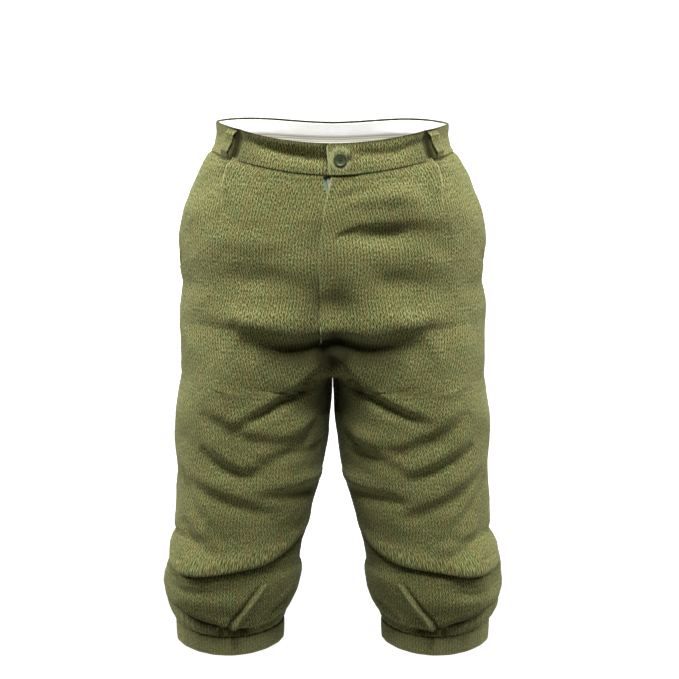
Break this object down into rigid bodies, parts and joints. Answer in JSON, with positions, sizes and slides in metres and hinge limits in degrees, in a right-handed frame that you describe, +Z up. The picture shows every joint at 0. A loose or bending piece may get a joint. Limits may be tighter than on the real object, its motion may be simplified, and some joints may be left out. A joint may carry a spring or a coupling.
{
  "type": "knee breeches",
  "caption": "Full tweed knee breeches in worn shape: buttoned waistband, fly zip, slanted pockets, belt loops and knee cuffs.",
  "frame": {"origin": "middle of the waist opening, at the height of the waistband's top edge at the sides, where the wearer's waist holds the garment", "axes": "+Z up along the body, +X towards the wearer's left, -Y the front"},
  "size_m": [0.4706, 0.29, 0.7265],
  "materials": {
    "tweed": "matt wool tweed",
    "lining": "smooth cotton",
    "zip_cloth": "woven tape",
    "metal": "satin",
    "button": "satin"
  },
  "bodies": {
    "garment": {"front_left": "tweed", "front_right": "tweed", "back_left": "tweed", "back_right": "tweed", "pocket_yoke_left": "tweed", "pocket_yoke_right": "tweed", "waistband_left": "tweed", "waistband_right": "tweed", "waistband_lining_left": "lining", "waistband_lining_right": "lining", "belt_loop_front_left": "tweed", "belt_loop_front_right": "tweed", "belt_loop_back_left": "tweed", "belt_loop_back_right": "tweed", "belt_loop_centre_back": "tweed", "cuff_left": "tweed", "cuff_right": "tweed", "zip_tape": "zip_cloth", "zip_slider": "metal", "button": "button"},
    "pull_tab": {"zip_pull": "metal"}
  },
  "joints": [
    {"name": "zip_pull_swing", "type": "hinge", "parent": "garment", "child": "pull_tab", "pos_m": [-0.002, -0.11478, -0.06923], "axis": [-1, 0, 0], "range_deg": [0, 12]}
  ]
}
